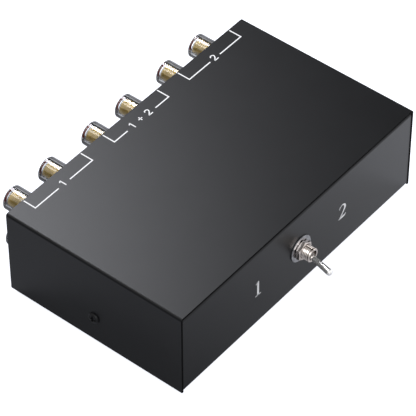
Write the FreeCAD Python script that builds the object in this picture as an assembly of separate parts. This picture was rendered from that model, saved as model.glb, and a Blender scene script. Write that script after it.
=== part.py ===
import FreeCAD, Part
import math
import os

# Loudspeaker selector: a two-piece sheet-steel box, a toggle switch in front,
# and two rows of screw-down binding posts at the back. Millimetres, +Z up, front towards -Y.
# The origin is the bottom centre of the whole object's bounding box.

# Box
box_width = 150.0
box_depth = 90.0
box_height = 42.5
sheet = 1.0
bend_radius = 1.3
side_gap = 0.15
lid_gap = 0.45
panel_inset = 0.2
flange_depth = 7.0
tab_width = 16.0
tab_height = 19.0

# Feet
foot_height = 2.0
foot_radius = 5.0
foot_inset = 12.0

# Cover screws
screw_height = 12.75
screw_radius = 1.5
screw_length = 6.0
screw_head_radius = 2.6
screw_head_height = 1.2
screw_clearance = 0.2
thread_clearance = 0.03
recess_width = 0.7
recess_length = 2.8
recess_depth = 0.7

# Toggle switch
lever_tilt = 12.5
lever_length = 16.2
lever_tip_radius = 1.45
lever_neck_radius = 1.0
lever_ball_radius = 2.44
lever_tail = 6.9
pivot_out = 2.6
bushing_radius = 3.15
bushing_reach = 6.6
bushing_bore = 2.5
bushing_mouth = 2.25
bushing_lip = 0.7
pivot_pin_radius = 0.5
pivot_pin_end_gap = 0.05
pivot_press_gap = 0.01
pivot_running_gap = 0.04
keyway_width = 1.0
keyway_depth = 0.5
thread_pitch = 0.7
thread_depth = 0.22
washer_radius = 6.2
washer_ring = 4.5
washer_thickness = 0.6
washer_teeth = 10
switch_nut_flats = 8.0
switch_nut_thickness = 2.2
back_nut_thickness = 1.8
frame_thickness = 0.8
frame_lip = 6.0
case_tall = 19.8
case_depth = 9.4
case_wall = 0.9
pole_count = 4
pole_margin = 1.8
throw_pitch = 4.7
terminal_width = 1.6
terminal_side_gap = 0.1
terminal_thickness = 0.8
terminal_reach = 4.6
terminal_head = 0.6
contact_gap = 0.1
paddle_width = 3.0
paddle_depth = 2.6
plunger_radius = 0.7
plunger_reach = 2.2
rocker_length = 9.4
rocker_width = 2.0
rocker_thickness = 0.4
rocker_tilt = 7.0
rocker_clearance = 0.35
rocker_axle_radius = 0.35
fit_clearance = 0.06
nut_crown = 0.475

# Binding posts
group_pitch = 48.0
pair_pitch = 21.2
row_spacing = 20.5
collar_radius = 5.3
collar_thickness = 2.0
spigot_radius = 3.4
spigot_clearance = 0.1
tail_radius = 1.75
tail_clearance = 0.05
tail_length = 9.0
barrel_radius = 2.8
barrel_reach = 8.9
socket_radius = 2.05
socket_depth = 8.4
wire_hole_radius = 0.95
wire_hole_offset = 1.7
insulator_radius = 5.0
insulator_thickness = 1.5
lug_radius = 3.6
lug_thickness = 0.5
lug_width = 3.0
lug_drop = 4.4
lug_tab = 7.0
post_nut_flats = 7.0
post_nut_thickness = 3.0

# Binding post caps
cap_seat_gap = 0.1
cap_radius = 5.5
cap_length = 10.5
cap_chamfer = 0.45
cap_bore_radius = 4.0
cap_base_wall = 1.5
cap_end_wall = 1.4
insert_radius = 3.35
insert_bore_clearance = 0.06
ring_radius = 3.27
ring_bore_radius = 2.5
seat_clearance = 0.03

# Wiring
wire_radius = 0.65
solder_gap = 0.1
wire_start_run = 14.0
wire_end_run = 8.0
bend_share = 0.45

front_reach = pivot_out + (lever_length - lever_tip_radius) * math.cos(math.radians(lever_tilt)) + lever_tip_radius
rear_reach = collar_thickness + cap_seat_gap + cap_length
total_depth = front_reach + box_depth - 2 * panel_inset + rear_reach
front_face = -total_depth / 2 + front_reach
back_face = total_depth / 2 - rear_reach
cover_front = front_face - panel_inset
cover_back = back_face + panel_inset
bottom = foot_height
top = bottom + box_height
half_width = box_width / 2
middle_y = (front_face + back_face) / 2
tray_half = half_width - sheet - side_gap
tray_top = top - sheet - lid_gap
switch_z = bottom + box_height / 2
row_low = box_height / 2 - row_spacing / 2
row_high = box_height / 2 + row_spacing / 2
case_width = 2 * (throw_pitch + terminal_width / 2 + terminal_side_gap + case_wall)
pole_pitch = (case_tall - 2 * (case_wall + pole_margin)) / (pole_count - 1)
wire_lane = pole_pitch / 3
X_AXIS = FreeCAD.Vector(1, 0, 0)
Y_AXIS = FreeCAD.Vector(0, 1, 0)
Z_AXIS = FreeCAD.Vector(0, 0, 1)


def block(x0, x1, y0, y1, z0, z1):
    return Part.makeBox(x1 - x0, y1 - y0, z1 - z0, FreeCAD.Vector(x0, y0, z0))


def rod(x, z, y0, y1, radius):
    return Part.makeCylinder(radius, y1 - y0, FreeCAD.Vector(x, y0, z), Y_AXIS)


def tube(x, z, y0, y1, outer, inner):
    return rod(x, z, y0, y1, outer).cut(rod(x, z, y0 - 1, y1 + 1, inner))


def hex_nut(x, z, y0, y1, flats, bore):
    # a hexagonal prism whose corners are chamfered at 30 degrees on both faces
    corner = flats / math.sqrt(3)
    points = []
    for i in range(7):
        angle = math.radians(60 * i + 30)
        points.append(FreeCAD.Vector(x + corner * math.cos(angle), y0, z + corner * math.sin(angle)))
    height = y1 - y0
    prism = Part.Face(Part.makePolygon(points)).extrude(FreeCAD.Vector(0, height, 0))
    crown = nut_crown * flats
    wide = corner + 0.1
    slope = (wide - crown) * math.tan(math.radians(30))
    envelope = turned([(0, 0), (0, crown), (slope, wide), (height - slope, wide), (height, crown), (height, 0)],
                      x, y1, z)
    return prism.common(envelope).cut(rod(x, z, y0 - 1, y1 + 1, bore))


def turned(profile, x, y, z):
    # a profile of (distance along -Y, radius) pairs turned about the Y axis through x, z
    points = [FreeCAD.Vector(x + r, y - a, z) for a, r in profile]
    points.append(points[0])
    face = Part.Face(Part.makePolygon(points))
    return face.revolve(FreeCAD.Vector(x, y, z), Y_AXIS, 360)


def rounded_edges(shape, radius, wanted):
    edges = [e for e in shape.Edges if wanted(e)]
    return shape.makeFillet(radius, edges) if edges else shape


def along_y(edge, x, z):
    middle = edge.valueAt((edge.FirstParameter + edge.LastParameter) / 2)
    level = abs(edge.Vertexes[0].Z - edge.Vertexes[-1].Z) < 1e-6
    return level and abs(abs(middle.x) - x) < 1e-6 and abs(middle.z - z) < 1e-6


def along_x(edge, y, z):
    ends = edge.Vertexes
    level = abs(ends[0].Z - ends[-1].Z) < 1e-6 and abs(ends[0].Y - ends[-1].Y) < 1e-6
    return level and abs(ends[0].Y - y) < 1e-6 and abs(ends[0].Z - z) < 1e-6


def both_sides(shape):
    return [shape, shape.mirror(FreeCAD.Vector(0, 0, 0), X_AXIS)]


def save(name, solids):
    shape = solids[0] if len(solids) == 1 else Part.makeCompound(solids)
    shape.exportStep("parts/" + name + ".step")
    volume = sum(s.Volume for s in solids)
    print(name, len(solids), "solids", round(volume, 1), "mm3", all(s.isValid() for s in solids))


def cover():
    outer = block(-half_width, half_width, cover_front, cover_back, bottom, top)
    outer = rounded_edges(outer, bend_radius, lambda e: along_y(e, half_width, top))
    inner_half = half_width - sheet
    inner = block(-inner_half, inner_half, cover_front - 1, cover_back + 1, bottom - 1, top - sheet)
    inner_bend = bend_radius - sheet
    inner = rounded_edges(inner, inner_bend, lambda e: along_y(e, inner_half, top - sheet))
    shell = outer.cut(inner)
    hole = Part.makeCylinder(screw_radius + screw_clearance, box_width + 2,
                             FreeCAD.Vector(-half_width - 1, middle_y, bottom + screw_height), X_AXIS)
    return shell.cut(hole)


def base_tray():
    # bottom, front and back in one bent sheet, with a return flange along each top edge
    outer = block(-tray_half, tray_half, front_face, back_face, bottom, tray_top)
    corners = [(front_face, bottom), (back_face, bottom), (front_face, tray_top), (back_face, tray_top)]
    outer = rounded_edges(outer, bend_radius, lambda e: any(along_x(e, y, z) for y, z in corners))
    inner = block(-tray_half - 1, tray_half + 1, front_face + sheet, back_face - sheet,
                  bottom + sheet, tray_top - sheet)
    inner_corners = [(front_face + sheet, bottom + sheet), (back_face - sheet, bottom + sheet),
                     (front_face + sheet, tray_top - sheet), (back_face - sheet, tray_top - sheet)]
    inner = rounded_edges(inner, bend_radius - sheet,
                          lambda e: any(along_x(e, y, z) for y, z in inner_corners))
    mouth = block(-tray_half - 1, tray_half + 1, front_face + flange_depth, back_face - flange_depth,
                  tray_top - sheet - 1, tray_top + 1)
    tray = outer.cut(inner).cut(mouth)
    tab = block(-tray_half, -tray_half + sheet, middle_y - tab_width / 2, middle_y + tab_width / 2,
                bottom, bottom + tab_height)
    for side in both_sides(tab):
        tray = tray.fuse(side)
    tapped = Part.makeCylinder(screw_radius + thread_clearance, box_width + 2,
                               FreeCAD.Vector(-half_width - 1, middle_y, bottom + screw_height), X_AXIS)
    tray = tray.cut(tapped)
    tray = tray.cut(rod(0, switch_z, front_face - 1, front_face + sheet + 1, bushing_radius + fit_clearance))
    for x, z in post_places():
        hole = rod(x, z, back_face - sheet - 1, back_face + 1, spigot_radius + spigot_clearance)
        tray = tray.cut(hole)
    return tray.removeSplitter()


def cover_screw():
    face_x = half_width
    z = bottom + screw_height
    start = FreeCAD.Vector(face_x - screw_length, middle_y, z)
    shank = Part.makeCylinder(screw_radius, screw_length, start, X_AXIS)
    seat = FreeCAD.Vector(face_x, middle_y, z)
    head = Part.makeCylinder(screw_head_radius, screw_head_height, seat, X_AXIS)
    rim = face_x + screw_head_height
    head = rounded_edges(head, 0.6 * screw_head_height,
                         lambda e: all(abs(v.X - rim) < 1e-6 for v in e.Vertexes) and e.Length > 1)
    floor = rim - recess_depth
    half_bar = recess_length / 2
    thin = recess_width / 2
    bar = block(floor, rim + 1, middle_y - half_bar, middle_y + half_bar, z - thin, z + thin)
    post = block(floor, rim + 1, middle_y - thin, middle_y + thin, z - half_bar, z + half_bar)
    return head.fuse(shank).cut(bar).cut(post)


def feet():
    solids = []
    for sx in (-1, 1):
        for edge in (cover_front + foot_inset, cover_back - foot_inset):
            start = FreeCAD.Vector(sx * (half_width - foot_inset), edge, 0)
            foot = Part.makeCylinder(foot_radius, foot_height, start, Z_AXIS)
            foot = rounded_edges(foot, 0.5, lambda e: all(abs(v.Z) < 1e-6 for v in e.Vertexes) and e.Length > 1)
            solids.append(foot)
    return solids


frame_front = front_face + sheet + back_nut_thickness
case_front = frame_front + frame_thickness
case_back = case_front + case_depth
pivot_y = front_face - pivot_out
nut_seat = front_face - washer_thickness
bushing_end = front_face - bushing_reach
paddle_y = pivot_y + lever_tail
plunger_tip = paddle_y + paddle_depth + plunger_reach
rocker_y = plunger_tip + rocker_clearance
rocker_mid = rocker_y + rocker_thickness / 2


def tilted(shape, angle, y):
    turned_shape = shape.copy()
    turned_shape.rotate(FreeCAD.Vector(0, y, switch_z), Z_AXIS, angle)
    return turned_shape


def across_pivot(radius, reach):
    start = FreeCAD.Vector(0, pivot_y, switch_z - reach)
    return Part.makeCylinder(radius, 2 * reach, start, Z_AXIS)


def switch_bushing():
    crest = bushing_radius
    root = bushing_radius - thread_depth
    length = frame_front - bushing_end
    profile = [(0, bushing_bore), (0, crest)]
    turns = int((length - 2 * thread_pitch) / thread_pitch)
    for i in range(turns):
        at = thread_pitch * (i + 1)
        profile += [(at, crest), (at + thread_pitch / 2, root)]
    profile += [(thread_pitch * (turns + 1), crest), (length - thread_depth, crest), (length, root),
                (length, bushing_mouth), (length - bushing_lip, bushing_mouth), (length - bushing_lip, bushing_bore)]
    body = turned(profile, 0, frame_front, switch_z)
    keyway = block(-keyway_width / 2, keyway_width / 2, bushing_end - 1, nut_seat - switch_nut_thickness,
                   switch_z + crest - keyway_depth, switch_z + crest + 1)
    return body.cut(keyway).cut(across_pivot(pivot_pin_radius + pivot_press_gap, crest + 1))


def lock_washer():
    ring = tube(0, switch_z, nut_seat, front_face, washer_radius, washer_ring)
    bore = rod(0, switch_z, nut_seat - 1, front_face + 1, bushing_radius + fit_clearance)
    tooth_width = 0.55 * 2 * math.pi * washer_ring / washer_teeth
    for i in range(washer_teeth):
        tooth = block(bushing_radius - 1, washer_ring + 0.3, nut_seat, front_face,
                      switch_z - tooth_width / 2, switch_z + tooth_width / 2)
        tooth.rotate(FreeCAD.Vector(0, 0, switch_z), Y_AXIS, 360 * i / washer_teeth)
        ring = ring.fuse(tooth)
    return ring.cut(bore).removeSplitter()


def lever():
    # a turned bat: tail, ball, neck and a swelling tip, laid along -Y and tilted at the pivot
    tip_centre = lever_length - lever_tip_radius
    ball = Part.makeSphere(lever_ball_radius, FreeCAD.Vector(0, pivot_y, switch_z))
    neck = Part.makeCone(lever_neck_radius, lever_tip_radius, tip_centre,
                         FreeCAD.Vector(0, pivot_y, switch_z), -Y_AXIS)
    tip = Part.makeSphere(lever_tip_radius, FreeCAD.Vector(0, pivot_y - tip_centre, switch_z))
    tail = rod(0, switch_z, pivot_y, paddle_y, lever_neck_radius * 0.85)
    bat = ball.fuse(neck).fuse(tip).fuse(tail).removeSplitter()
    bat = bat.cut(across_pivot(pivot_pin_radius + pivot_running_gap, lever_ball_radius + 1))
    return tilted(bat, -lever_tilt, pivot_y)


def pole_heights():
    return [switch_z + pole_pitch * ((pole_count - 1) / 2 - i) for i in range(pole_count)]


def actuator():
    tall = pole_pitch * (pole_count - 1) + 2 * plunger_radius + 1.0
    paddle = block(-paddle_width / 2, paddle_width / 2, paddle_y, paddle_y + paddle_depth,
                   switch_z - tall / 2, switch_z + tall / 2)
    return tilted(paddle, -lever_tilt, pivot_y)


def plungers():
    solids = []
    for z in pole_heights():
        start = paddle_y + paddle_depth
        pin = rod(0, z, start, plunger_tip - plunger_radius, plunger_radius)
        point = Part.makeSphere(plunger_radius, FreeCAD.Vector(0, plunger_tip - plunger_radius, z))
        solids.append(tilted(pin.fuse(point).removeSplitter(), -lever_tilt, pivot_y))
    return solids


def rockers():
    solids = []
    for z in pole_heights():
        blade = block(-rocker_length / 2, rocker_length / 2, rocker_y, rocker_y + rocker_thickness,
                      z - rocker_width / 2, z + rocker_width / 2)
        axle = Part.makeCylinder(rocker_axle_radius, rocker_width,
                                 FreeCAD.Vector(0, rocker_mid, z - rocker_width / 2), Z_AXIS)
        solids.append(tilted(blade.fuse(axle).removeSplitter(), rocker_tilt, rocker_mid))
    return solids


def switch_case():
    half = case_width / 2
    tall = case_tall / 2
    case = block(-half, half, case_front, case_back, switch_z - tall, switch_z + tall)
    cavity = block(-half + case_wall, half - case_wall, case_front - 1, case_back - case_wall,
                   switch_z - tall + case_wall, switch_z + tall - case_wall)
    case = case.cut(cavity)
    for z in pole_heights():
        for column in (-1, 0, 1):
            slot = block(column * throw_pitch - terminal_width / 2 - fit_clearance,
                         column * throw_pitch + terminal_width / 2 + fit_clearance,
                         case_back - case_wall - 1, case_back + 1,
                         z - terminal_thickness / 2 - fit_clearance, z + terminal_thickness / 2 + fit_clearance)
            case = case.cut(slot)
    return case


def switch_frame():
    half = case_width / 2
    tall = case_tall / 2
    plate = block(-half, half, frame_front, case_front, switch_z - tall - frame_thickness,
                  switch_z + tall + frame_thickness)
    for side in (-1, 1):
        edge = switch_z + side * (tall + frame_thickness / 2)
        lip = block(-half, half, frame_front, case_front + frame_lip, edge - frame_thickness / 2,
                    edge + frame_thickness / 2)
        plate = plate.fuse(lip)
    passage = rod(0, switch_z, frame_front - 1, case_front + 1, bushing_bore)
    return plate.cut(passage).removeSplitter()


def terminals():
    # each lug stands on a round contact head inside the case, and the middle one holds the rocker
    solids = []
    swing = rocker_length / 2 * math.sin(math.radians(rocker_tilt))
    side_head = rocker_y + rocker_thickness + swing + contact_gap
    middle_head = rocker_mid + rocker_axle_radius + contact_gap
    for z in pole_heights():
        for column in (-1, 0, 1):
            x = column * throw_pitch
            head_y = middle_head if column == 0 else side_head
            head = rod(x, z, head_y, head_y + terminal_head, terminal_width / 2)
            blade = block(x - terminal_width / 2, x + terminal_width / 2, head_y + terminal_head,
                          case_back + terminal_reach, z - terminal_thickness / 2, z + terminal_thickness / 2)
            solids.append(head.fuse(blade).removeSplitter())
    return solids


def post_places():
    places = []
    for group in (-1, 0, 1):
        for side in (-1, 1):
            x = group * group_pitch + side * pair_pitch / 2
            places.append((x, bottom + row_high))
            places.append((x, bottom + row_low))
    return places


def is_high(z):
    return z > bottom + (row_low + row_high) / 2


barrel_start = back_face + collar_thickness
barrel_end = barrel_start + barrel_reach
insulator_front = back_face - sheet
lug_front = insulator_front - insulator_thickness
nut_front = lug_front - lug_thickness
cap_start = barrel_start + cap_seat_gap
cap_end = cap_start + cap_length
cap_end_inside = cap_end - cap_end_wall


def post_stud(x, z):
    tail = rod(x, z, back_face - tail_length, barrel_start, tail_radius)
    barrel = rod(x, z, barrel_start, barrel_end, barrel_radius)
    socket = rod(x, z, barrel_end - socket_depth, barrel_end + 1, socket_radius)
    across = FreeCAD.Vector(x, barrel_start + wire_hole_offset, z - barrel_radius - 1)
    wire_hole = Part.makeCylinder(wire_hole_radius, 2 * barrel_radius + 2, across, Z_AXIS)
    return tail.fuse(barrel).cut(socket).cut(wire_hole)


def post_collar(x, z):
    flange = rod(x, z, back_face, barrel_start, collar_radius)
    rim = barrel_start
    flange = rounded_edges(flange, 0.4, lambda e: all(abs(v.Y - rim) < 1e-6 for v in e.Vertexes) and e.Length > 1)
    spigot = rod(x, z, insulator_front, back_face, spigot_radius)
    return flange.fuse(spigot).cut(rod(x, z, insulator_front - 1, rim + 1, tail_radius + tail_clearance))


def solder_lug(x, z):
    toward = -1 if is_high(z) else 1
    ring = rod(x, z, nut_front, lug_front, lug_radius)
    near = z + toward * lug_drop
    far = z + toward * (lug_drop + lug_thickness)
    neck = block(x - lug_width / 2, x + lug_width / 2, nut_front, lug_front, min(z, far), max(z, far))
    tab = block(x - lug_width / 2, x + lug_width / 2, nut_front - lug_tab, lug_front, min(near, far), max(near, far))
    hole = rod(x, z, nut_front - 1, lug_front + 1, tail_radius + tail_clearance)
    return ring.fuse(neck).fuse(tab).cut(hole).removeSplitter()


def cap_shell(x, z):
    shell = rod(x, z, cap_start, cap_end, cap_radius)
    ends = (cap_start, cap_end)
    rims = [e for e in shell.Edges if e.Length > 2 * cap_radius + 1 and len(e.Vertexes) == 1
            and any(abs(e.Vertexes[0].Y - end) < 1e-6 for end in ends)]
    shell = shell.makeChamfer(cap_chamfer, rims)
    room = rod(x, z, cap_start + cap_base_wall, cap_end_inside, cap_bore_radius)
    base_hole = rod(x, z, cap_start - 1, cap_start + cap_base_wall + 1, insert_radius + seat_clearance)
    end_hole = rod(x, z, cap_end_inside - 1, cap_end + 1, ring_radius + seat_clearance)
    return shell.cut(room).cut(base_hole).cut(end_hole)


def cap_insert(x, z):
    return tube(x, z, cap_start, cap_end_inside, insert_radius, barrel_radius + insert_bore_clearance)


def cap_ring(x, z):
    return tube(x, z, cap_end_inside, cap_end, ring_radius, ring_bore_radius)


def wire_path(points):
    # straight runs joined by tangent arcs, each arc as large as its two runs allow
    edges = []
    radii = []
    start = points[0]
    for i in range(1, len(points) - 1):
        before = points[i - 1] - points[i]
        after = points[i + 1] - points[i]
        shorter = min(before.Length, after.Length)
        turn = math.pi - before.getAngle(after)
        setback = bend_share * shorter
        radius = setback / math.tan(turn / 2)
        radii.append(radius)
        into = FreeCAD.Vector(before).normalize()
        out = FreeCAD.Vector(after).normalize()
        first = points[i] + into * setback
        last = points[i] + out * setback
        bisector = (into + out).normalize()
        middle = points[i] + bisector * (radius / math.cos(turn / 2) - radius)
        edges.append(Part.LineSegment(start, first).toShape())
        edges.append(Part.Arc(first, middle, last).toShape())
        start = last
    edges.append(Part.LineSegment(start, points[-1]).toShape())
    return Part.Wire(edges), radii


def wire_routes():
    # the lever's inner end moves opposite to its handle, so the left outputs take the right-hand column
    routes = []
    lug_end = nut_front - lug_tab
    lug_shift = lug_drop + lug_thickness / 2
    for pole, z in enumerate(pole_heights()):
        high = pole < pole_count / 2
        side = -1 if pole % 2 == 0 else 1
        target = bottom + row_high - lug_shift if high else bottom + row_low + lug_shift
        for column in (-1, 0, 1):
            x = column * throw_pitch
            goal = -column * group_pitch + side * pair_pitch / 2
            lane = z + column * wire_lane
            start_y = case_back + terminal_reach + solder_gap
            routes.append((high, [FreeCAD.Vector(x, start_y, z),
                                  FreeCAD.Vector(x, start_y + wire_start_run, lane),
                                  FreeCAD.Vector(goal, lug_end - wire_end_run, target),
                                  FreeCAD.Vector(goal, lug_end, target)]))
    return routes


def wires(high_rows):
    solids = []
    for high, points in wire_routes():
        if high != high_rows:
            continue
        path, radii = wire_path(points)
        section = Part.Circle(points[0], (points[1] - points[0]), wire_radius).toShape()
        solid = path.makePipeShell([Part.Wire([section])], True, False)
        expected = math.pi * wire_radius ** 2 * path.Length
        print("wire bend radii", [round(r, 1) for r in radii], "volume ratio", round(solid.Volume / expected, 4))
        solids.append(solid)
    return solids


os.makedirs("parts", exist_ok=True)
save("cover", [cover()])
save("base_tray", [base_tray()])
save("cover_screws", both_sides(cover_screw()))
save("rubber_feet", feet())
save("switch_bushing", [switch_bushing()])
save("switch_nut", [hex_nut(0, switch_z, nut_seat - switch_nut_thickness, nut_seat, switch_nut_flats,
                            bushing_radius + fit_clearance)])
save("switch_lock_washer", [lock_washer()])
save("switch_back_nut", [hex_nut(0, switch_z, front_face + sheet, frame_front, switch_nut_flats,
                                 bushing_radius + fit_clearance)])
save("switch_pivot_pin", [across_pivot(pivot_pin_radius, bushing_radius - thread_depth - pivot_pin_end_gap)])
save("switch_lever", [lever()])
save("switch_actuator", [actuator()])
save("switch_plungers", plungers())
save("switch_rockers", rockers())
save("switch_case", [switch_case()])
save("switch_frame", [switch_frame()])
save("switch_terminals", terminals())

high_posts = [(x, z) for x, z in post_places() if is_high(z)]
low_posts = [(x, z) for x, z in post_places() if not is_high(z)]
all_posts = high_posts + low_posts
save("post_studs", [post_stud(x, z) for x, z in all_posts])
save("red_collars", [post_collar(x, z) for x, z in high_posts])
save("black_collars", [post_collar(x, z) for x, z in low_posts])
save("post_insulators", [tube(x, z, lug_front, insulator_front, insulator_radius, tail_radius + tail_clearance)
                         for x, z in all_posts])
save("solder_lugs", [solder_lug(x, z) for x, z in all_posts])
save("post_nuts", [hex_nut(x, z, nut_front - post_nut_thickness, nut_front, post_nut_flats,
                           tail_radius + tail_clearance) for x, z in all_posts])
save("red_wires", wires(True))
save("black_wires", wires(False))
for row_name, row in (("red", high_posts), ("black", low_posts)):
    for number, (x, z) in enumerate(row, start=1):
        save(f"{row_name}_cap_{number}", [cap_shell(x, z)])
        save(f"{row_name}_cap_{number}_insert", [cap_insert(x, z)])
        save(f"{row_name}_cap_{number}_ring", [cap_ring(x, z)])
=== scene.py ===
import math

import bmesh
import bpy
import numpy as np
from mathutils import Matrix, Vector


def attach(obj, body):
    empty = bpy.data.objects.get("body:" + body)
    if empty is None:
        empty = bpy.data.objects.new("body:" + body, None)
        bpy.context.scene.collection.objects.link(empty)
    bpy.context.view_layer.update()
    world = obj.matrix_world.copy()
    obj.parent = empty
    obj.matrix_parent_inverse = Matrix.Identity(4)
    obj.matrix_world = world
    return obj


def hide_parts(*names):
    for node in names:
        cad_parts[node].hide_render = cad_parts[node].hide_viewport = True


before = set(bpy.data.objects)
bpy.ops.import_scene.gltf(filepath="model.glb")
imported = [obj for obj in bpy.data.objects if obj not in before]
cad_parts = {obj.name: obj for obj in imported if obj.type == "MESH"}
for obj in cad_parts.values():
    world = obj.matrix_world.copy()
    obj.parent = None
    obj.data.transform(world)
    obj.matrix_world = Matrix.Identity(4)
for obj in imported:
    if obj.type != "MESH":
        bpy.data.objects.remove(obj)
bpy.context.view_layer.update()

mm = 0.001
print("stage 1: frame loaded with", len(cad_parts), "nodes")

# The places below repeat the CAD model's own sizes, in millimetres
place = {
    "top": 44.5,            # upper face of the cover
    "bottom": 2.0,          # lower edge of the cover
    "panelFront": -41.8748,  # face of the front panel
    "panelBack": 47.7252,   # face of the rear panel
    "coverFront": -42.0748,
    "coverBack": 47.9252,
    "middle": 2.9252,       # middle of the box, front to back
    "switchHeight": 23.25,
    "rowHigh": 33.5,
    "rowLow": 13.0,
}
postXs = [group * 48.0 + side * 10.6 for group in (-1, 0, 1) for side in (-1, 1)]


# Camera
cameraView = {
    "spot": (-612.222, -493.390, 821.398),
    "azimuth": -50.807,
    "elevation": 45.569,
    "roll": -0.102,
    "lens": 237.69,
    "sensor": 36.0,
}


def makeCamera(view):
    # the camera looks along minus its back vector, which azimuth and elevation give, and rolls about it
    turn, rise, roll = (math.radians(view[key]) for key in ("azimuth", "elevation", "roll"))
    back = Vector((math.sin(turn) * math.cos(rise), -math.cos(turn) * math.cos(rise), math.sin(rise)))
    level = Vector((math.cos(turn), math.sin(turn), 0))
    upright = back.cross(level)
    right = level * math.cos(roll) + upright * math.sin(roll)
    up = upright * math.cos(roll) - level * math.sin(roll)
    lens = bpy.data.cameras.new("photoCamera")
    lens.lens = view["lens"]
    lens.sensor_width = view["sensor"]
    lens.clip_start = 0.01
    camera = bpy.data.objects.new("photoCamera", lens)
    spot = Vector(view["spot"]) * mm
    camera.matrix_world = Matrix((
        (right.x, up.x, back.x, spot.x),
        (right.y, up.y, back.y, spot.y),
        (right.z, up.z, back.z, spot.z),
        (0, 0, 0, 1)))
    bpy.context.scene.collection.objects.link(camera)
    bpy.context.scene.camera = camera


makeCamera(cameraView)
print("stage 2: camera placed")


# Finishes: shades and roughness run between two ends, patches and grain are in features per metre
looks = {
    "satinCoat": dict(dark=(0.0016, 0.0017, 0.0022), light=(0.0028, 0.0030, 0.0036), rough=(0.34, 0.38),
                      patch=70, grain=2600, bump=0.2, depth=0.01, specular=0.25),
    "panelCoat": dict(dark=(0.0030, 0.0032, 0.0038), light=(0.0046, 0.0048, 0.0056), rough=(0.33, 0.37),
                      patch=70, grain=2600, bump=0.2, depth=0.01, specular=0.25),
    "cutEdge": dict(dark=(0.0015, 0.0015, 0.0016), light=(0.0025, 0.0025, 0.0027), rough=(0.75, 0.85),
                    patch=70, grain=2600, bump=0.2, depth=0.01, specular=0.05),
    "whitePrint": dict(dark=(0.88, 0.88, 0.88), light=(0.95, 0.95, 0.95), rough=(0.45, 0.6),
                       patch=900, grain=5000, bump=0.25, depth=0.01),
    "blackOxide": dict(dark=(0.004, 0.004, 0.0045), light=(0.009, 0.009, 0.010), rough=(0.4, 0.52),
                       patch=500, grain=4000, bump=0.3, depth=0.01, specular=0.22),
    "nickelPlate": dict(dark=(0.44, 0.39, 0.36), light=(0.64, 0.58, 0.54), rough=(0.14, 0.24),
                        patch=400, grain=3500, bump=0.12, depth=0.01, metal=1.0),
    "washerPlate": dict(dark=(0.20, 0.20, 0.21), light=(0.38, 0.38, 0.39), rough=(0.22, 0.34),
                        patch=500, grain=3500, bump=0.2, depth=0.01, metal=1.0),
    "leverChrome": dict(dark=(0.80, 0.79, 0.77), light=(0.92, 0.91, 0.89), rough=(0.14, 0.22),
                        patch=200, grain=5000, bump=0.05, depth=0.006, metal=0.75, stretch=(1.0, 0.05, 1.0)),
    "goldPlate": dict(dark=(0.52, 0.38, 0.12), light=(0.74, 0.57, 0.24), rough=(0.66, 0.74),
                      patch=250, grain=4000, bump=0.12, depth=0.008, metal=1.0, stretch=(0.04, 1.0, 0.04)),
    # rim is a painted grey shade for the clear walls seen at a slant, where the plastic is also made mostly
    # opaque
    "clearShell": dict(dark=(0.93, 0.94, 0.95), light=(0.98, 0.98, 0.98), rough=(0.03, 0.06),
                       patch=120, grain=2500, bump=0.02, depth=0.004, glass=1.0, ior=1.49,
                       specular=0.15, rim=(0.12, 0.12, 0.125), rimFrom=0.38, rimTo=0.48, rimGlass=0.1),
    "redPlastic": dict(dark=(0.14, 0.004, 0.007), light=(0.22, 0.008, 0.011), rough=(0.25, 0.38),
                       patch=300, grain=3000, bump=0.15, depth=0.01),
    "blackPlastic": dict(dark=(0.012, 0.012, 0.012), light=(0.022, 0.022, 0.023), rough=(0.28, 0.42),
                         patch=300, grain=3000, bump=0.15, depth=0.01),
    "footRubber": dict(dark=(0.014, 0.014, 0.014), light=(0.030, 0.030, 0.030), rough=(0.75, 0.9),
                       patch=400, grain=3000, bump=0.5, depth=0.03),
    "blueCase": dict(dark=(0.018, 0.05, 0.16), light=(0.03, 0.08, 0.24), rough=(0.35, 0.5),
                     patch=300, grain=3000, bump=0.2, depth=0.01),
    "naturalNylon": dict(dark=(0.60, 0.57, 0.50), light=(0.74, 0.71, 0.64), rough=(0.4, 0.55),
                         patch=300, grain=2500, bump=0.2, depth=0.01),
    "zincPlate": dict(dark=(0.45, 0.46, 0.47), light=(0.66, 0.67, 0.67), rough=(0.26, 0.42),
                      patch=250, grain=2500, bump=0.2, depth=0.01, metal=1.0),
    "silverPlate": dict(dark=(0.66, 0.64, 0.60), light=(0.84, 0.82, 0.78), rough=(0.2, 0.34),
                        patch=300, grain=3000, bump=0.15, depth=0.008, metal=1.0),
    "redJacket": dict(dark=(0.30, 0.010, 0.012), light=(0.44, 0.020, 0.022), rough=(0.4, 0.55),
                      patch=200, grain=1800, bump=0.2, depth=0.02),
    "blackJacket": dict(dark=(0.012, 0.012, 0.012), light=(0.024, 0.024, 0.024), rough=(0.4, 0.55),
                        patch=200, grain=1800, bump=0.2, depth=0.02),
}


def addNoise(tree, source, scale, detail):
    noise = tree.nodes.new("ShaderNodeTexNoise")
    noise.inputs["Scale"].default_value = scale
    noise.inputs["Detail"].default_value = detail
    tree.links.new(source, noise.inputs["Vector"])
    return noise.outputs["Fac"]


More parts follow.
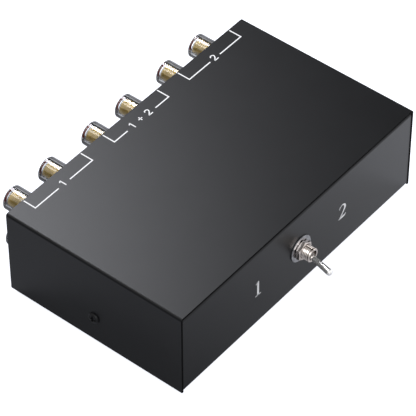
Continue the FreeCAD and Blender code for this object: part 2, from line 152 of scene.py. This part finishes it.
def addPaintedRimShade(tree, shader, colour, look):
    # painted shade: where the eye meets the clear plastic at a slant and looks along its wall, it is painted
    # grey and made less clear, standing in for the dark band that refraction and reflection show there
    slant = tree.nodes.new("ShaderNodeLayerWeight")
    slant.inputs["Blend"].default_value = 0.5
    share = tree.nodes.new("ShaderNodeMapRange")
    share.inputs["From Min"].default_value = look["rimFrom"]
    share.inputs["From Max"].default_value = look["rimTo"]
    tree.links.new(slant.outputs["Facing"], share.inputs["Value"])
    mix = tree.nodes.new("ShaderNodeMix")
    mix.data_type = "RGBA"
    tree.links.new(share.outputs["Result"], mix.inputs["Factor"])
    tree.links.new(colour, mix.inputs["A"])
    mix.inputs["B"].default_value = (*look["rim"], 1.0)
    tree.links.new(mix.outputs["Result"], shader.inputs["Base Color"])
    clear = tree.nodes.new("ShaderNodeMapRange")
    clear.inputs["To Min"].default_value = 1.0
    clear.inputs["To Max"].default_value = look["rimGlass"]
    tree.links.new(share.outputs["Result"], clear.inputs["Value"])
    tree.links.new(clear.outputs["Result"], shader.inputs["Transmission Weight"])


def makeFinish(name, look):
    # coarse noise picks the shade between two colours, fine noise sets roughness and height
    material = bpy.data.materials.new(name)
    material.use_nodes = True
    tree = material.node_tree
    shader = tree.nodes["Principled BSDF"]
    where = tree.nodes.new("ShaderNodeTexCoord")
    stretch = tree.nodes.new("ShaderNodeMapping")
    stretch.inputs["Scale"].default_value = look.get("stretch", (1.0, 1.0, 1.0))
    tree.links.new(where.outputs["Object"], stretch.inputs["Vector"])
    patches = addNoise(tree, where.outputs["Object"], look["patch"], 3.0)
    grain = addNoise(tree, stretch.outputs["Vector"], look["grain"], 2.0)
    shades = tree.nodes.new("ShaderNodeValToRGB")
    shades.color_ramp.elements[0].position = 0.3
    shades.color_ramp.elements[0].color = (*look["dark"], 1.0)
    shades.color_ramp.elements[1].position = 0.7
    shades.color_ramp.elements[1].color = (*look["light"], 1.0)
    tree.links.new(patches, shades.inputs["Fac"])
    tree.links.new(shades.outputs["Color"], shader.inputs["Base Color"])
    spread = tree.nodes.new("ShaderNodeMapRange")
    spread.inputs["From Min"].default_value = 0.3
    spread.inputs["From Max"].default_value = 0.7
    spread.inputs["To Min"].default_value = look["rough"][0]
    spread.inputs["To Max"].default_value = look["rough"][1]
    tree.links.new(grain, spread.inputs["Value"])
    tree.links.new(spread.outputs["Result"], shader.inputs["Roughness"])
    bump = tree.nodes.new("ShaderNodeBump")
    bump.inputs["Strength"].default_value = look["bump"]
    bump.inputs["Distance"].default_value = look["depth"] * mm
    tree.links.new(grain, bump.inputs["Height"])
    tree.links.new(bump.outputs["Normal"], shader.inputs["Normal"])
    shader.inputs["Metallic"].default_value = look.get("metal", 0.0)
    shader.inputs["Transmission Weight"].default_value = look.get("glass", 0.0)
    # painted shade: slanted clear walls turn grey and less clear
    if "rim" in look:
        addPaintedRimShade(tree, shader, shades.outputs["Color"], look)
    shader.inputs["IOR"].default_value = look.get("ior", 1.5)
    shader.inputs["Specular IOR Level"].default_value = look.get("specular", 0.5)
    return material


finishes = {name: makeFinish(name, look) for name, look in looks.items()}
nodeFinishes = {
    "base_tray": "panelCoat", "cover": "satinCoat", "cover_screws": "blackOxide",
    "rubber_feet": "footRubber",
    "switch_bushing": "nickelPlate", "switch_nut": "nickelPlate", "switch_lock_washer": "washerPlate",
    "switch_back_nut": "nickelPlate", "switch_pivot_pin": "zincPlate", "switch_lever": "leverChrome",
    "switch_actuator": "naturalNylon", "switch_plungers": "silverPlate", "switch_rockers": "silverPlate",
    "switch_case": "blueCase", "switch_frame": "zincPlate", "switch_terminals": "silverPlate",
    "post_studs": "goldPlate", "red_collars": "redPlastic", "black_collars": "blackPlastic",
    "post_insulators": "blackPlastic", "solder_lugs": "zincPlate", "post_nuts": "nickelPlate",
    "red_wires": "redJacket", "black_wires": "blackJacket",
}
for row in ("red", "black"):
    for number in range(1, 7):
        nodeFinishes[f"{row}_cap_{number}"] = "clearShell"
        nodeFinishes[f"{row}_cap_{number}_insert"] = "goldPlate"
        nodeFinishes[f"{row}_cap_{number}_ring"] = row + "Plastic"
for nodeName, finishName in nodeFinishes.items():
    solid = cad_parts[nodeName]
    solid.data.materials.clear()
    solid.data.materials.append(finishes[finishName])
print("stage 3:", len(finishes), "finishes made")


def gridFaces(rows, columns, wrapRows, wrapColumns):
    # corner numbers of the quads between neighbouring rows and columns, closed on itself where it wraps
    i = np.arange(rows if wrapRows else rows - 1)[:, None]
    j = np.arange(columns if wrapColumns else columns - 1)[None, :]
    nextI = (i + 1) % rows
    nextJ = (j + 1) % columns
    corners = (i * columns + j, nextI * columns + j, nextI * columns + nextJ, i * columns + nextJ)
    return np.stack(corners, -1).reshape(-1, 4)


def makePiece(name, parts, finish, body, replaces=(), crease=32):
    # parts are (points in millimetres, faces) pairs; they are joined, merged at doubles and turned outwards
    points = np.concatenate([grid.reshape(-1, 3) for grid, faces in parts]) * mm
    starts = np.cumsum([0] + [grid.size // 3 for grid, faces in parts])
    rows = [[corner + start for corner in face]
            for (grid, faces), start in zip(parts, starts.tolist()) for face in faces]
    mesh = bpy.data.meshes.new(name)
    mesh.from_pydata(points.tolist(), [], rows)
    shape = bmesh.new()
    shape.from_mesh(mesh)
    bmesh.ops.remove_doubles(shape, verts=shape.verts, dist=2e-7)
    bmesh.ops.dissolve_degenerate(shape, edges=shape.edges, dist=1e-7)
    bmesh.ops.recalc_face_normals(shape, faces=shape.faces)
    shape.to_mesh(mesh)
    shape.free()
    mesh.polygons.foreach_set("use_smooth", np.ones(len(mesh.polygons), bool))
    mesh.set_sharp_from_angle(angle=math.radians(crease))
    mesh.materials.append(finishes[finish])
    piece = bpy.data.objects.new(name, mesh)
    bpy.context.scene.collection.objects.link(piece)
    evener = piece.modifiers.new("evenShading", "WEIGHTED_NORMAL")
    evener.keep_sharp = True
    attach(piece, body)
    if replaces:
        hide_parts(*replaces)
    return piece


def roundedLine(corners, radius, steps=5, closed=True):
    # each corner c gives way to the arc c + u r (1 - sin t) + v r (1 - cos t)
    # u and v point to the corner's two neighbours
    line = np.array(corners, float)
    towardLast = np.roll(line, 1, 0) - line
    towardNext = np.roll(line, -1, 0) - line
    lengths = [np.linalg.norm(way, axis=1, keepdims=True) for way in (towardLast, towardNext)]
    reach = np.minimum(radius, 0.49 * np.minimum(*lengths))
    t = np.linspace(0, math.pi / 2, steps)[None, :, None]
    u = (towardLast / lengths[0] * reach)[:, None]
    v = (towardNext / lengths[1] * reach)[:, None]
    arcs = line[:, None] + u * (1 - np.sin(t)) + v * (1 - np.cos(t))
    if closed:
        return arcs.reshape(-1, line.shape[1])
    return np.concatenate([line[:1], arcs[1:-1].reshape(-1, line.shape[1]), line[-1:]])


def turnedGrid(profile, x, y, z, steps=96, closed=True):
    # a profile of (distance along Y, radius) pairs turned round the Y axis: x + r cos a, z + r sin a
    profile = np.asarray(profile, float)
    angle = np.arange(steps) * 2 * math.pi / steps
    along = profile[:, 0, None] + 0 * angle
    radius = profile[:, 1, None] + 0 * angle
    return shapedGrid(along, radius, angle, x, y, z, closed)


def shapedGrid(along, radius, angle, x, y, z, closed=True):
    # the same with a distance and a radius of its own for each profile point and angle
    points = np.stack([x + radius * np.cos(angle), y + along, z + radius * np.sin(angle)], -1)
    return points, gridFaces(*along.shape, closed, True).tolist()


# Cover: one bent sheet with rounded bends and softened cut edges
coverSheet = {"halfWidth": 75.0, "sheet": 1.0, "bend": 1.3, "edge": 0.14}


def makeCover(c):
    # a U-shaped path across the box, carrying a thin rounded rectangle: depth in Y by thickness of sheet
    half, inner = c["halfWidth"], c["halfWidth"] - c["sheet"]
    top, low = place["top"], place["bottom"]
    outside = roundedLine([(-half, low), (-half, top), (half, top), (half, low)], c["bend"], 12, False)
    ceiling = top - c["sheet"]
    inside = roundedLine([(-inner, low), (-inner, ceiling), (inner, ceiling), (inner, low)],
                         c["bend"] - c["sheet"], 12, False)
    front, back = place["coverFront"], place["coverBack"]
    section = roundedLine([(0, front), (0, back), (1, back), (1, front)], c["edge"], 4)
    share, depth = section[:, 0], section[:, 1]
    across = outside[:, None] * (1 - share)[None, :, None] + inside[:, None] * share[None, :, None]
    points = np.stack([across[..., 0], depth + 0 * across[..., 0], across[..., 1]], -1)
    rows, columns = points.shape[:2]
    faces = gridFaces(rows, columns, False, True).tolist()
    faces.append(list(range(columns)))
    faces.append(list(range((rows - 1) * columns, rows * columns)))
    cover = makePiece("bentCover", [(points, faces)], "satinCoat", "box", ["cover"])
    # the sheet's cut edges face front and back and carry hardly any gloss
    normals = np.empty(len(cover.data.polygons) * 3)
    cover.data.polygons.foreach_get("normal", normals)
    isEdge = np.abs(normals.reshape(-1, 3)[:, 1]) > 0.6
    cover.data.materials.append(finishes["cutEdge"])
    cover.data.polygons.foreach_set("material_index", isEdge.astype(np.int32))


makeCover(coverSheet)


# Side screws: a domed head with a cross recess
sideScrew = {"headRadius": 2.6, "headHeight": 1.2, "shank": 1.5, "length": 4.8, "crossLength": 3.0,
             "crossWidth": 0.75, "crossDepth": 0.75, "height": 14.75}


def makeScrews(s):
    # dome: radius R sin(q)^0.75 and height H cos(q)^0.6
    # the cross is cut in where a point lies in either arm
    q = np.linspace(0, math.pi / 2, 56)[:, None]
    angle = np.arange(128)[None, :] * 2 * math.pi / 128
    radius = s["headRadius"] * np.sin(q) ** 0.75 + 0 * angle
    height = s["headHeight"] * np.cos(q).clip(0) ** 0.6 + 0 * angle
    u, v = radius * np.cos(angle), radius * np.sin(angle)
    fade = 0.14
    arms = []
    for a, b in ((u, v), (v, u)):
        inWidth = ((s["crossWidth"] / 2 - np.abs(b)) / fade + 0.5).clip(0, 1)
        inLength = ((s["crossLength"] / 2 - np.abs(a)) / (3 * fade) + 0.5).clip(0, 1)
        arms.append(inWidth * inLength)
    height = height - s["crossDepth"] * np.maximum(*arms)
    ring = np.ones_like(angle)
    lower = [(s["shank"], 0.0), (s["shank"], -s["length"]), (0.0, -s["length"])]
    radius = np.concatenate([radius] + [r * ring for r, h in lower])
    height = np.concatenate([height] + [h * ring for r, h in lower])
    faces = gridFaces(*radius.shape, False, True).tolist()
    parts = []
    for side in (-1, 1):
        points = np.stack([side * (coverSheet["halfWidth"] + height),
                           place["middle"] + radius * np.cos(angle),
                           s["height"] + radius * np.sin(angle)], -1)
        parts.append((points, faces))
    makePiece("crossHeadScrews", parts, "blackOxide", "box", ["cover_screws"])


makeScrews(sideScrew)


# Feet: stick-on rubber discs with a rounded rim and a shallow dish
foot = {"height": 2.0, "radius": 5.0, "inset": 12.0, "dish": 0.25}


def makeFeet(f):
    # a disc profile turned about the vertical: the rim bulges by a quarter circle and the sole is dished
    r = f["radius"]
    profile = roundedLine([(0.0, f["height"]), (r * 0.94, f["height"]), (r, 0.8), (r * 0.92, 0.0),
                           (r * 0.6, 0.0), (r * 0.5, f["dish"]), (0.0, f["dish"])], 0.35, 5, False)
    angle = np.arange(64) * 2 * math.pi / 64
    faces = gridFaces(len(profile), 64, False, True).tolist()
    parts = []
    for x in (-1, 1):
        for y in (place["coverFront"] + f["inset"], place["coverBack"] - f["inset"]):
            reach = profile[:, 0, None]
            points = np.stack([x * (coverSheet["halfWidth"] - f["inset"]) + reach * np.cos(angle),
                               y + reach * np.sin(angle), profile[:, 1, None] + 0 * angle], -1)
            parts.append((points, faces))
    makePiece("stickOnFeet", parts, "footRubber", "box", ["rubber_feet"])


makeFeet(foot)
print("stage 4: cover, screws and feet made")


# Toggle switch: the keyway is narrower and shallower than the CAD model's and follows the photo
toggle = {
    "washerRadius": 6.2, "washerRing": 4.5, "washerThickness": 0.6, "teeth": 10,
    "nutFlats": 8.0, "nutThickness": 2.2, "nutCrown": 0.475, "nutBore": 3.21,
    "barrel": 3.15, "barrelBore": 2.5, "barrelMouth": 2.25, "barrelLip": 0.7, "barrelReach": 6.6,
    "coneZone": 0.6, "leadIn": 0.35, "runOut": 0.5, "softEdge": 0.12,
    "barrelStart": 2.8, "threadPitch": 0.7, "threadDepth": 0.22, "keyWidth": 0.6, "keyDepth": 0.35,
    "pivotOut": 2.6, "tilt": 12.5, "leverLength": 16.2, "tipRadius": 1.45, "neckRadius": 1.0,
    "ballRadius": 2.44, "tailRadius": 0.85, "tailLength": 6.9,
}


def makeWasher(t):
    # a flat ring whose inner radius swings between the ring and the teeth with a smoothed square wave
    angle = np.arange(360) * 2 * math.pi / 360
    wave = (0.5 + 1.6 * np.cos(t["teeth"] * angle)).clip(0, 1)
    inner = t["washerRing"] + (t["nutBore"] + 0.05 - t["washerRing"]) * wave
    outer = t["washerRadius"]
    section = roundedLine([(0, 1), (0, 0), (-t["washerThickness"], 0), (-t["washerThickness"], 1)], 0.1, 4)
    share = section[:, 1, None]
    along = section[:, 0, None] + 0 * angle
    grid = shapedGrid(along, outer + (inner - outer) * share, angle, 0, place["panelFront"],
                      place["switchHeight"])
    makePiece("toothedWasher", [grid], "washerPlate", "box", ["switch_lock_washer"])


def makeNut(t):
    # radius of a hexagon at each angle, held in by a 30 degree cone at both faces
    angle = np.arange(360) * 2 * math.pi / 360
    flat = t["nutFlats"] / 2
    hexagon = flat / np.cos((angle + math.pi / 6) % (math.pi / 3) - math.pi / 6)
    crown = t["nutCrown"] * t["nutFlats"]
    zone, gap, thick = t["coneZone"], t["coneZone"] + 0.1, t["nutThickness"]
    depth = np.concatenate([np.linspace(0, zone, 14), np.linspace(gap, thick - gap, 3),
                            np.linspace(thick - zone, thick, 14)])
    near = np.minimum(depth, t["nutThickness"] - depth)
    cone = crown + near / math.tan(math.radians(30))
    side = np.minimum(hexagon[None, :], cone[:, None])
    rim = np.ones_like(angle)
    bore = t["nutBore"]
    lead = 0.25
    along = np.concatenate([[lead * rim, 0 * rim], depth[:, None] * rim[None, :],
                            [t["nutThickness"] * rim, (t["nutThickness"] - lead) * rim]])
    radius = np.concatenate([[bore * rim, (bore + lead) * rim], side, [(bore + lead) * rim, bore * rim]])
    seat = place["panelFront"] - t["washerThickness"]
    grid = shapedGrid(-along, radius, angle, 0, seat, place["switchHeight"])
    makePiece("hexNut", [grid], "nickelPlate", "box", ["switch_nut"], crease=18)


def makeBushing(t):
    # outside radius r = crest - depth * triangle(s / pitch - a / 2 pi), cut flat where the keyway runs
    steps = 180
    angle = np.arange(steps) * 2 * math.pi / steps
    length = t["barrelStart"] + t["barrelReach"]
    crestEnd = length - t["leadIn"]
    along = np.linspace(0, crestEnd, 150)[:, None]
    phase = (along / t["threadPitch"] - angle / (2 * math.pi)) % 1.0
    ridge = np.abs(2 * phase - 1)
    fade = (np.minimum(along, crestEnd - along) / t["runOut"]).clip(0, 1)
    thread = t["barrel"] - t["threadDepth"] * (1 - ridge) * fade
    nutEnd = t["barrelStart"] + t["washerThickness"] + t["nutThickness"]
    overKey = (np.abs(thread * np.cos(angle)) < t["keyWidth"] / 2) & (np.sin(angle) > 0) & (along > nutEnd)
    thread = np.where(overKey, (t["barrel"] - t["keyDepth"]) / np.sin(angle).clip(0.5), thread)
    ring = np.ones((1, steps))
    key = (np.abs(t["barrel"] * np.cos(angle)) < t["keyWidth"] / 2) & (np.sin(angle) > 0)
    rim = np.where(key, t["barrel"] - t["keyDepth"], t["barrel"] - 0.1)[None, :]
    soft, mouth, bore = t["softEdge"], t["barrelMouth"] * ring, t["barrelBore"] * ring
    ends = [(length - 0.1, rim), (length, rim - soft), (length, mouth + soft), (length - soft, mouth),
            (length - t["barrelLip"], mouth), (length - t["barrelLip"], bore), (0.0, bore)]
    radius = np.concatenate([thread] + [r for s, r in ends])
    along = np.concatenate([along * ring] + [s * ring for s, r in ends])
    start = place["panelFront"] + t["barrelStart"]
    grid = shapedGrid(-along, radius, angle, 0, start, place["switchHeight"])
    makePiece("threadedBushing", [grid], "nickelPlate", "box", ["switch_bushing"])


def makeLever(t):
    # radius along the bat is the largest of tail, ball, swelling neck and round tip; then it tilts about Z
    tip = t["leverLength"] - t["tipRadius"]
    s = np.concatenate([np.linspace(-t["tailLength"], tip, 170),
                        tip + t["tipRadius"] * np.sin(np.linspace(0.02, math.pi / 2, 24))])
    ball = np.sqrt((t["ballRadius"] ** 2 - s ** 2).clip(0))
    tail = np.where(s <= 0, t["tailRadius"], 0)
    bulb = np.sqrt((t["tipRadius"] ** 2 - (s - tip) ** 2).clip(0))
    neck = np.where((s >= 0) & (s <= tip), t["neckRadius"] + (t["tipRadius"] - t["neckRadius"]) * s / tip, 0)
    radius = np.max([ball, tail, bulb, neck], 0)
    profile = np.concatenate([[(-t["tailLength"], 0)], np.stack([s, radius], -1)])
    points, faces = turnedGrid(profile * (-1, 1), 0, 0, 0, 96, False)
    turn = math.radians(-t["tilt"])
    x = points[..., 0] * math.cos(turn) - points[..., 1] * math.sin(turn)
    y = points[..., 0] * math.sin(turn) + points[..., 1] * math.cos(turn)
    pivot = place["panelFront"] - t["pivotOut"]
    points = np.stack([x, y + pivot, points[..., 2] + place["switchHeight"]], -1)
    makePiece("batLever", [(points, faces)], "leverChrome", "lever", ["switch_lever"])


makeWasher(toggle)
makeNut(toggle)
makeBushing(toggle)
makeLever(toggle)
print("stage 5: toggle made")


# Binding posts: profiles are (distance out from the rear panel, radius)
# ringDepth is thinner than the CAD ring and follows the photo
post = {
    "capStart": 2.1, "capLength": 10.5, "capRadius": 5.5, "chamfer": 0.45, "room": 4.0, "baseWall": 1.5,
    "endWall": 1.4, "baseHole": 3.38, "endHole": 3.30, "insertRadius": 3.35, "insertBore": 2.86,
    "ringRadius": 3.27, "ringBore": 2.5, "collarRadius": 5.3, "collarThickness": 2.0, "tailHole": 1.8,
    "spigot": 3.4, "spigotLength": 1.0, "ringDepth": 0.35,
}


def postProfiles(p):
    start, end = p["capStart"], p["capStart"] + p["capLength"]
    inside = end - p["endWall"]
    outer, cut = p["capRadius"], p["chamfer"]
    shell = [(start, p["baseHole"]), (start, outer - cut), (start + cut, outer), (end - cut, outer),
             (end, outer - cut), (end, p["endHole"]), (inside, p["endHole"]), (inside, p["room"]),
             (start + p["baseWall"], p["room"]), (start + p["baseWall"], p["baseHole"])]
    insert = [(start, p["insertBore"]), (start, p["insertRadius"]), (inside, p["insertRadius"]),
              (inside, p["insertBore"])]
    seat = end - p["ringDepth"]
    ring = [(seat, p["ringBore"]), (seat, p["ringRadius"]), (end, p["ringRadius"]), (end, p["ringBore"])]
    collar = [(-p["spigotLength"], p["tailHole"]), (-p["spigotLength"], p["spigot"]), (0, p["spigot"]),
              (0, p["collarRadius"]), (p["collarThickness"], p["collarRadius"]),
              (p["collarThickness"], p["tailHole"])]
    return (roundedLine(shell, 0.14, 4), roundedLine(insert, 0.12, 4), roundedLine(ring, 0.16, 5),
            roundedLine(collar, 0.35, 5))


def makePosts(p):
    shell, insert, ring, collar = postProfiles(p)
    face = place["panelBack"]
    for row, z in (("red", place["rowHigh"]), ("black", place["rowLow"])):
        collars = [turnedGrid(collar, x, face, z, 80) for x in postXs]
        makePiece(row + "Collars", collars, row + "Plastic", "box", [row + "_collars"])
        for number, x in enumerate(postXs, 1):
            node = f"{row}_cap_{number}"
            label = f"{row}Cap{number}"
            makePiece(label + "Shell", [turnedGrid(shell, x, face, z)], "clearShell", node + "_grip",
                      [node])
            makePiece(label + "Insert", [turnedGrid(insert, x, face, z)], "goldPlate", node + "_core",
                      [node + "_insert"])
            makePiece(label + "Ring", [turnedGrid(ring, x, face, z)], row + "Plastic", node + "_grip",
                      [node + "_ring"])


makePosts(post)
print("stage 6: binding posts made")


# Printed marks: thin raised strokes of white ink
ink = {
    "height": 0.03, "line": 0.55, "numeralLine": 0.5,
    "lineY": 41.03, "legY": 47.3,
    "brackets": [(-65.0, -51.0), (-30.35, -44.2), (-16.75, -8.5), (17.7, 9.2), (31.2, 44.9), (65.3, 51.3)],
}


def smoothLine(points, steps=10):
    # Catmull-Rom curve: each run blends four neighbouring points with cubic weights
    line = np.array(points, float)
    padded = np.concatenate([2 * line[:1] - line[1:2], line, 2 * line[-1:] - line[-2:-1]])
    a, b, c, d = padded[:-3, None], padded[1:-2, None], padded[2:-1, None], padded[3:, None]
    t = (np.arange(steps) / steps)[None, :, None]
    curve = 0.5 * (2 * b + (c - a) * t + (2 * a - 5 * b + 4 * c - d) * t ** 2
                   + (3 * b - a - 3 * c + d) * t ** 3)
    return np.concatenate([curve.reshape(-1, line.shape[1]), line[-1:]])


def strokeGrid(line, toSpace):
    # a band of (u, v, width) points with a thin wall
    # each side lies half a width off along the mitred normal
    way = np.diff(line[:, :2], axis=0)
    normal = np.stack([-way[:, 1], way[:, 0]], -1) / np.linalg.norm(way, axis=1, keepdims=True)
    before = np.concatenate([normal[:1], normal])
    after = np.concatenate([normal, normal[-1:]])
    mitre = before + after
    mitre = mitre / (mitre * before).sum(1, keepdims=True)
    offset = mitre * line[:, 2:3] / 2
    left, right = line[:, :2] + offset, line[:, :2] - offset
    low, high = np.zeros((len(line), 1)), np.full((len(line), 1), ink["height"])
    corners = ((left, low), (left, high), (right, high), (right, low))
    flat = np.stack([np.hstack(corner) for corner in corners], 1)
    count = len(line)
    faces = gridFaces(count, 4, False, True).tolist()
    faces += [[0, 1, 2, 3], [4 * count - 4, 4 * count - 3, 4 * count - 2, 4 * count - 1]]
    return toSpace(flat), faces


def onTop(flat):
    return np.stack([flat[..., 0], flat[..., 1], place["top"] + flat[..., 2]], -1)


def onFront(flat):
    return np.stack([flat[..., 0], place["panelFront"] - flat[..., 2], flat[..., 1]], -1)


def shifted(strokes, u, v, scale=1.0):
    return [np.array(stroke, float) * (scale, scale, 1) + (u, v, 0) for stroke in strokes]


def makeBrackets(k):
    width = k["line"]
    parts = []
    for outer, inner in k["brackets"]:
        line = np.array([(inner, k["lineY"], width), (outer, k["lineY"], width), (outer, k["legY"], width)])
        parts.append(strokeGrid(line, onTop))
    makePiece("printedBrackets", parts, "whitePrint", "box")


w = ink["numeralLine"]
plainOne = [[(0, -1.75, w), (0, 1.75, w)], [(-0.95, 0.95, w), (-0.1, 1.62, w)]]
plainTwo = [smoothLine([(-1.05, 0.85, w), (-0.72, 1.38, w), (0.05, 1.55, w), (0.85, 1.15, w),
                        (0.85, 0.45, w), (0.25, -0.35, w), (-0.55, -1.0, w), (-1.1, -1.5, w)]),
            [(-1.3, -1.5, w), (1.25, -1.5, w)]]
plainPlus = [[(-1.1, 0, w), (1.1, 0, w)], [(0, -1.1, w), (0, 1.1, w)]]
serifOne = [[(-27.2, 18.5, 1.15), (-27.2, 26.35, 1.15)],
            smoothLine([(-28.65, 25.25, 0.28), (-28.0, 25.7, 0.42), (-27.35, 26.15, 0.75)]),
            smoothLine([(-28.85, 18.55, 0.34), (-27.8, 18.6, 0.42), (-27.2, 18.62, 0.55),
                        (-26.6, 18.6, 0.42), (-25.35, 18.55, 0.34)])]
serifTwo = [smoothLine([(25.95, 24.25, 0.4), (26.45, 25.25, 0.45), (27.7, 25.95, 0.5), (28.9, 25.6, 0.8),
                        (29.65, 24.6, 1.1), (29.65, 23.4, 1.15), (29.1, 22.3, 1.0), (28.2, 21.0, 0.75),
                        (27.1, 19.8, 0.55), (26.0, 18.85, 0.45)]),
            smoothLine([(25.75, 18.75, 0.45), (26.6, 18.9, 0.95), (27.9, 18.95, 1.1), (29.2, 18.93, 1.05),
                        (29.9, 19.15, 0.7), (30.35, 19.75, 0.3)])]


def makeNumerals():
    top = shifted(plainOne, -47.5, 41.8) + shifted(plainTwo, 48.0, 41.6)
    top += shifted(plainOne, -4.6, 41.7) + shifted(plainPlus, 0.3, 41.7) + shifted(plainTwo, 5.3, 41.7)
    makePiece("topNumerals", [strokeGrid(np.array(s), onTop) for s in top], "whitePrint", "box")
    front = [np.array(s, float) for s in serifOne + serifTwo]
    makePiece("frontNumerals", [strokeGrid(s, onFront) for s in front], "whitePrint", "box")


makeBrackets(ink)
makeNumerals()
print("stage 7: printed marks made")


# Studio: a pale floor, dim cards that the camera doesn't see, and soft lamps; all in metres
studio = {
    "floorSize": 12.0,
    "floorColour": (0.52, 0.53, 0.565),
    "floorGlow": 0.9,
    # the floor's glow for mirrored rays rises along X between the first two values up to the third: a
    # painted reflection of lit floor and of the box's shadow, not lamp light
    "paintedGlowFrom": -0.07,
    "paintedGlowTo": 0.12,
    "sheen": 1.0,
    "worldWhite": 1.0,
    "worldFill": 0.3,
    "cards": [
        dict(name="backCard", spot=(0.95, 0.95, 1.25), aim=(0.0, 0.0, 0.03), size=(3.2, 3.2), glow=0.03),
        dict(name="leftCard", spot=(-1.4, 0.6, 0.35), aim=(0.0, 0.0, 0.03), size=(1.5, 0.7), glow=0.02),
    ],
    "lamps": [
        dict(name="sheenBox", spot=(0.282, 0.527, 0.719), aim=(0.0, 0.003, 0.044), size=(0.315, 0.315),
             power=5.8, colour=(0.93, 0.945, 1.0)),
        dict(name="edgeBox", spot=(-0.22, 0.46, 0.86), aim=(-0.075, 0.0, 0.044), size=(0.26, 0.26),
             power=0.9),
        dict(name="frontBox", spot=(-0.75, -1.0, 1.15), aim=(0.0, 0.0, 0.02), size=(0.9, 0.9), power=12.0,
             colour=(0.95, 0.965, 1.0)),
        dict(name="rightBox", spot=(0.42, -0.30, 0.28), aim=(0.12, -0.08, 0.0), size=(0.25, 0.25),
             power=0.3),
    ],
}


def makeSheet(name, size, material):
    # a flat rectangle about its own middle
    x, y = np.meshgrid([-size[0] / 2, size[0] / 2], [-size[1] / 2, size[1] / 2])
    points = np.stack([x, y, np.zeros_like(x)], -1).reshape(-1, 3)
    mesh = bpy.data.meshes.new(name)
    mesh.from_pydata(points.tolist(), [], [[0, 1, 3, 2]])
    mesh.materials.append(material)
    sheet = bpy.data.objects.new(name, mesh)
    bpy.context.scene.collection.objects.link(sheet)
    return sheet


def addLevels(tree, low, seen):
    # one level for plain rays and another for camera and transmitted rays
    # input B of the returned node is the level for mirrored rays
    rays = tree.nodes.new("ShaderNodeLightPath")
    share = tree.nodes.new("ShaderNodeMath")
    share.operation = "MAXIMUM"
    tree.links.new(rays.outputs["Is Camera Ray"], share.inputs[0])
    tree.links.new(rays.outputs["Is Transmission Ray"], share.inputs[1])
    plain = tree.nodes.new("ShaderNodeMapRange")
    plain.inputs["To Min"].default_value = low
    plain.inputs["To Max"].default_value = seen
    tree.links.new(share.outputs[0], plain.inputs["Value"])
    blend = tree.nodes.new("ShaderNodeMix")
    tree.links.new(rays.outputs["Is Glossy Ray"], blend.inputs["Factor"])
    tree.links.new(plain.outputs["Result"], blend.inputs["A"])
    return blend


def makeFloorPaint(s):
    material = bpy.data.materials.new("floorPaint")
    material.use_nodes = True
    tree = material.node_tree
    shader = tree.nodes["Principled BSDF"]
    shader.inputs["Base Color"].default_value = (*s["floorColour"], 1)
    shader.inputs["Roughness"].default_value = 0.9
    shader.inputs["Emission Color"].default_value = (0.93, 0.945, 1.0, 1)
    # painted glow seen by mirrored rays, brighter from left to right past the object: it stands in for the
    # floor lit on the right and lying in the box's shadow on the left, and shows on the panels as a painted
    # reflection
    where = tree.nodes.new("ShaderNodeTexCoord")
    axes = tree.nodes.new("ShaderNodeSeparateXYZ")
    tree.links.new(where.outputs["Object"], axes.inputs["Vector"])
    paintedGlowSlope = tree.nodes.new("ShaderNodeMapRange")
    paintedGlowSlope.inputs["From Min"].default_value = s["paintedGlowFrom"]
    paintedGlowSlope.inputs["From Max"].default_value = s["paintedGlowTo"]
    paintedGlowSlope.inputs["To Max"].default_value = s["sheen"]
    tree.links.new(axes.outputs["X"], paintedGlowSlope.inputs["Value"])
    blend = addLevels(tree, 0.0, s["floorGlow"])
    tree.links.new(paintedGlowSlope.outputs["Result"], blend.inputs["B"])
    tree.links.new(blend.outputs["Result"], shader.inputs["Emission Strength"])
    return material


def makeCardPaint(card):
    material = bpy.data.materials.new(card["name"] + "Paint")
    material.use_nodes = True
    shader = material.node_tree.nodes["Principled BSDF"]
    shader.inputs["Base Color"].default_value = (0.02, 0.02, 0.02, 1)
    shader.inputs["Roughness"].default_value = 1.0
    shader.inputs["Emission Color"].default_value = (1, 1, 1, 1)
    shader.inputs["Emission Strength"].default_value = card["glow"]
    return material


def makeWorld(s):
    world = bpy.data.worlds.new("studioWorld")
    bpy.context.scene.world = world
    world.use_nodes = True
    tree = world.node_tree
    background = tree.nodes["Background"]
    background.inputs["Color"].default_value = (1, 1, 1, 1)
    blend = addLevels(tree, s["worldFill"], s["worldWhite"])
    blend.inputs["B"].default_value = s["worldWhite"]
    tree.links.new(blend.outputs["Result"], background.inputs["Strength"])


def aimed(item):
    # turns the local Z axis away from the aim
    way = Vector(item["spot"]) - Vector(item["aim"])
    return Matrix.Translation(item["spot"]) @ way.to_track_quat("Z", "Y").to_matrix().to_4x4()


def makeLamp(lamp):
    light = bpy.data.lights.new(lamp["name"], "AREA")
    light.shape = "RECTANGLE"
    light.size, light.size_y = lamp["size"]
    light.energy = lamp["power"]
    light.color = lamp.get("colour", (1.0, 1.0, 1.0))
    stand = bpy.data.objects.new(lamp["name"], light)
    stand.matrix_world = aimed(lamp)
    bpy.context.scene.collection.objects.link(stand)


makeSheet("studioFloor", (studio["floorSize"], studio["floorSize"]), makeFloorPaint(studio))
for card in studio["cards"]:
    sheet = makeSheet(card["name"], card["size"], makeCardPaint(card))
    sheet.data.transform(aimed(card))
    sheet.visible_camera = False
makeWorld(studio)
for lamp in studio["lamps"]:
    makeLamp(lamp)
bpy.context.scene.view_settings.view_transform = "Standard"
print("stage 8: studio lit")
